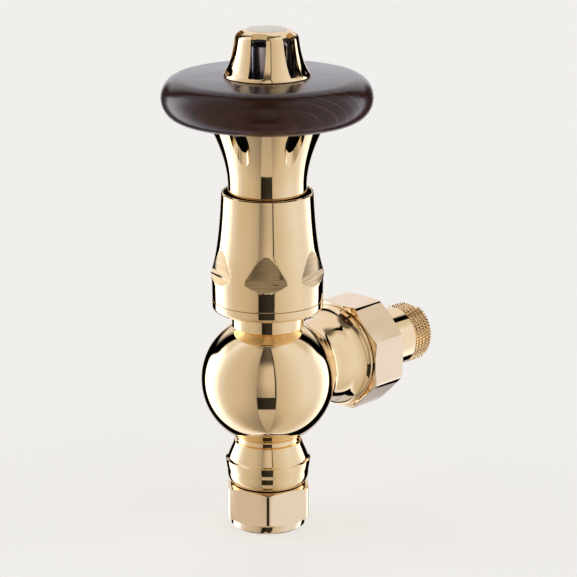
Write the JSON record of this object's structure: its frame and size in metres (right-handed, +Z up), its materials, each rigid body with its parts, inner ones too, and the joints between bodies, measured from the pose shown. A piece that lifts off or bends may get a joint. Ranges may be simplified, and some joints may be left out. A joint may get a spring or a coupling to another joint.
{
  "type": "angled thermostatic radiator valve",
  "caption": "Polished brass angled radiator valve with a turned wooden wheel head that sets a self-acting sensor, a pipe inlet below and a radiator tail at the side.",
  "frame": {"origin": "centre of the pipe inlet's mouth, at the bottom of the compression nut", "axes": "+Z up along the inlet, stem and wheel axis, +X out along the radiator tail"},
  "size_m": [0.108, 0.069, 0.1698],
  "materials": {
    "polished_brass": "polished",
    "turned_brass": "machined",
    "dark_wood": "satin",
    "black_plastic": "satin",
    "white_plastic": "gloss",
    "nickel": "polished",
    "steel": "plain",
    "rubber": "matt",
    "copper": "plain"
  },
  "bodies": {
    "valve": {"valve_body": "polished_brass", "compression_nut": "polished_brass", "compression_olive": "turned_brass", "union_nut": "polished_brass", "union_tail": "polished_brass", "union_seal": "rubber", "valve_insert": "turned_brass", "insert_washer": "copper", "gland_nut": "turned_brass", "gland_o_ring": "rubber", "return_spring": "steel", "lock_sleeve": "polished_brass", "head_core": "black_plastic"},
    "carriage": {"sensor_carrier": "white_plastic", "sensor_capsule": "nickel", "overload_spring": "steel"},
    "head": {"sensor_cage": "black_plastic", "retaining_clip": "steel", "upper_skirt": "polished_brass", "wood_wheel": "dark_wood", "top_cap": "polished_brass", "cap_screw": "steel", "top_disc": "white_plastic"},
    "stem": {"push_pin": "steel", "spindle": "steel", "plug_holder": "turned_brass", "plug_washer": "rubber", "plug_nut": "turned_brass"}
  },
  "joints": [
    {"name": "head_lift", "type": "slide", "parent": "valve", "child": "carriage", "axis": [0, 0, 1], "range_m": [-0.00125, 0.00125], "deforming": ["return_spring"]},
    {"name": "wheel_turn", "type": "hinge", "parent": "carriage", "child": "head", "pos_m": [0, 0, 0.147], "axis": [0, 0, 1], "range_deg": [-150, 150]},
    {"name": "sensor_stroke", "type": "slide", "parent": "carriage", "child": "stem", "axis": [0, 0, 1], "range_m": [-0.0005, 0.0005], "stiffness_N_per_m": 2000}
  ],
  "couplings": [
    {"joint": "head_lift", "follows": "wheel_turn", "m_per_rad": 0.00047746}
  ]
}
